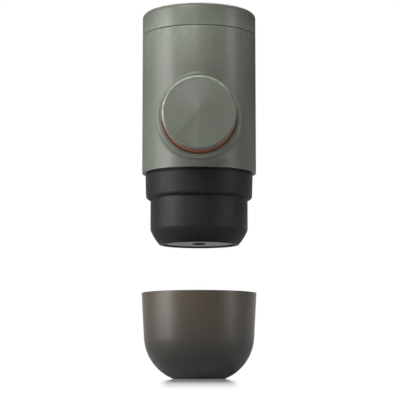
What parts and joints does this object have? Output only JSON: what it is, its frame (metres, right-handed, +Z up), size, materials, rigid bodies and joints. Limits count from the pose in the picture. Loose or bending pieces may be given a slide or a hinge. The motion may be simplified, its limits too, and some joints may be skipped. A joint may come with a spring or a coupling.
{
  "type": "handheld manual espresso maker",
  "caption": "Cylindrical hand-pumped espresso maker with a sprung piston knob on its side, a black outlet head under it and its own cup below.",
  "frame": {"origin": "centre of the cup's foot, on the table", "axes": "+Z up along the common axis of cup, outlet head, casing and lid; -Y out of the piston knob; +X to the right of someone who faces the knob"},
  "size_m": [0.062, 0.0822, 0.2],
  "materials": {
    "olive_plastic": "satin",
    "black_plastic": "fine matt grain",
    "smoked_plastic": "satin",
    "orange_plastic": "satin",
    "tank_plastic": "satin",
    "inner_plastic": "satin",
    "satin_steel": "satin",
    "spring_steel": "bright drawn wire",
    "silicone": "matt"
  },
  "bodies": {
    "cup": {"cup": "smoked_plastic"},
    "outlet_head": {"outlet_shell": "black_plastic", "spout_plate": "satin_steel", "valve_housing": "black_plastic", "housing_seal": "silicone", "valve_seat": "inner_plastic", "crema_spring": "spring_steel"},
    "valve": {"crema_valve": "silicone"},
    "basket": {"filter_basket": "satin_steel"},
    "gasket": {"group_gasket": "silicone"},
    "machine": {"brew_head": "black_plastic", "shower_screen": "satin_steel", "screen_screw": "satin_steel", "body_shell": "olive_plastic", "chassis": "inner_plastic", "chassis_screws": "satin_steel", "piston_guide": "inner_plastic", "pump_cylinder": "inner_plastic", "pump_screws": "satin_steel", "rod_seal": "silicone", "inlet_valve": "silicone", "outlet_valve": "silicone", "inlet_fitting": "inner_plastic", "outlet_fitting": "inner_plastic", "suction_hose": "silicone", "delivery_hose": "silicone", "return_spring": "spring_steel", "water_tank": "tank_plastic", "tank_strainer": "inner_plastic"},
    "piston": {"piston_rod": "inner_plastic", "piston_seal": "silicone"},
    "knob": {"knob_sleeve": "orange_plastic", "knob_cap": "olive_plastic"},
    "lid_seal": {"lid_gasket": "silicone"},
    "lid": {"lid_shell": "olive_plastic", "lid_liner": "black_plastic", "vent_valve": "silicone"}
  },
  "joints": [
    {"name": "cup_lift", "type": "slide", "parent": "cup", "child": "outlet_head", "axis": [0, 0, 1], "range_m": [-0.0645, 0.02]},
    {"name": "crema_valve_open", "type": "slide", "parent": "outlet_head", "child": "valve", "axis": [0, 0, -1], "range_m": [0, 0.0015], "stiffness_N_per_m": 1500, "springref_m": -0.002, "deforming": ["crema_spring"]},
    {"name": "basket_lift", "type": "slide", "parent": "outlet_head", "child": "basket", "axis": [0, 0, 1], "range_m": [0, 0.025]},
    {"name": "body_lift", "type": "slide", "parent": "basket", "child": "gasket", "axis": [0, 0, 1], "range_m": [0, 0.03]},
    {"name": "body_unscrew", "type": "hinge", "parent": "gasket", "child": "machine", "pos_m": [0, 0, 0.1038], "axis": [0, 0, 1], "range_deg": [0, 90]},
    {"name": "piston_press", "type": "slide", "parent": "machine", "child": "piston", "axis": [0, 1, 0], "range_m": [0, 0.0095], "stiffness_N_per_m": 600, "springref_m": -0.004, "deforming": ["return_spring"]},
    {"name": "knob_twist", "type": "hinge", "parent": "piston", "child": "knob", "pos_m": [0, -0.0448, 0.1366], "axis": [0, 1, 0], "range_deg": [0, 60]},
    {"name": "lid_lift", "type": "slide", "parent": "machine", "child": "lid_seal", "axis": [0, 0, 1], "range_m": [0, 0.03]},
    {"name": "lid_unscrew", "type": "hinge", "parent": "lid_seal", "child": "lid", "pos_m": [0, 0, 0.19275], "axis": [0, 0, 1], "range_deg": [0, 270]}
  ]
}
